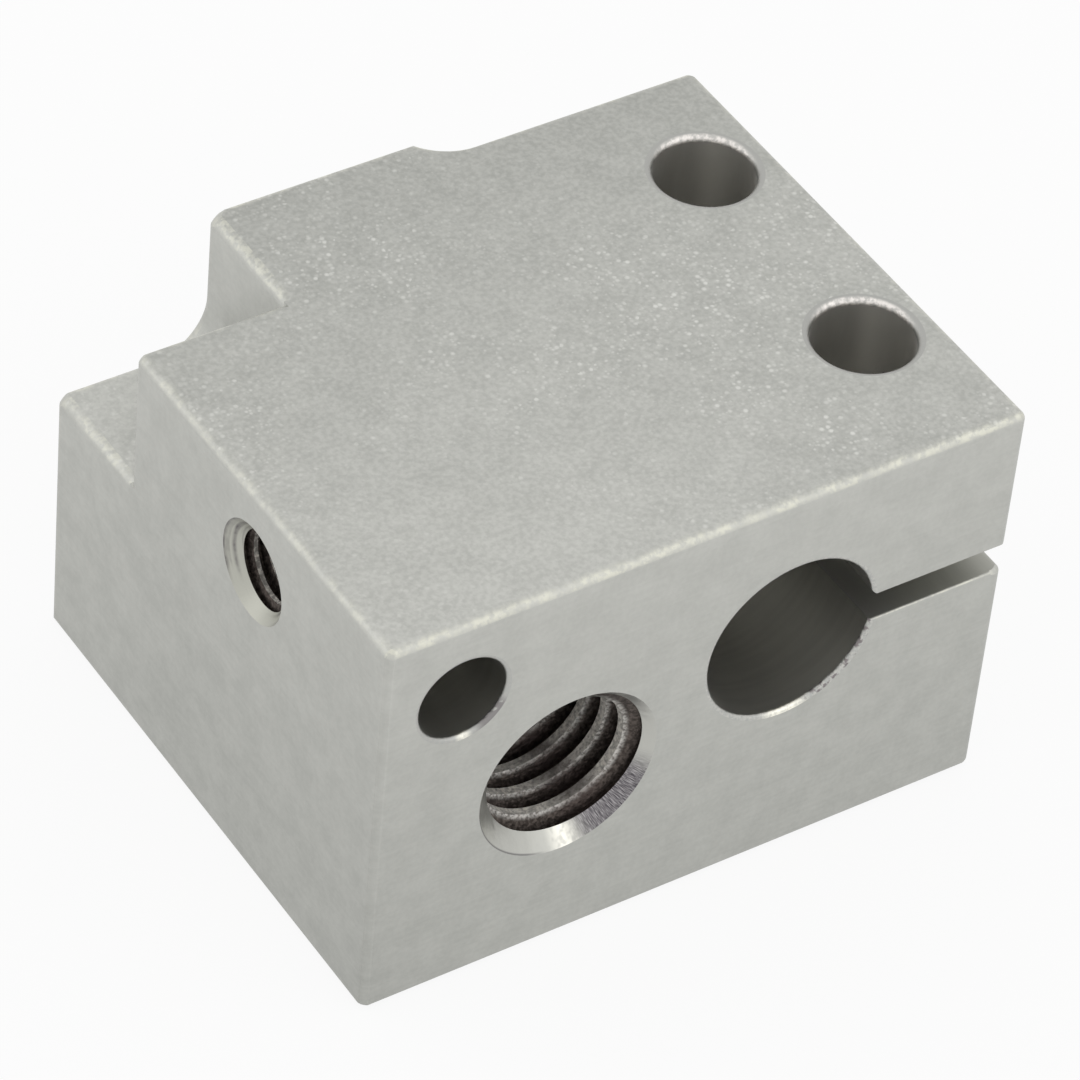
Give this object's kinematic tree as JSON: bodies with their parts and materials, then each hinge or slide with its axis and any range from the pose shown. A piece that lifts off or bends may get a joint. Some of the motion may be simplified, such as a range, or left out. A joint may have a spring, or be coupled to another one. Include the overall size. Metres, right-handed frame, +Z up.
{
  "type": "heater block",
  "caption": "Aluminium hot-end heater block with a threaded nozzle hole, a split clamp bore for the heater, a sensor bore with a set screw hole, and a stepped back.",
  "frame": {"origin": "middle of the base, below the centre of the block's box", "axes": "+X to the right along the front face, +Y from the front face to the back along the nozzle, heater and sensor bores, +Z up"},
  "size_m": [0.023, 0.02, 0.0153],
  "materials": {
    "blasted_aluminium": "bead-blasted satin"
  },
  "bodies": {
    "root": {"heater_block": "blasted_aluminium"}
  },
  "joints": []
}
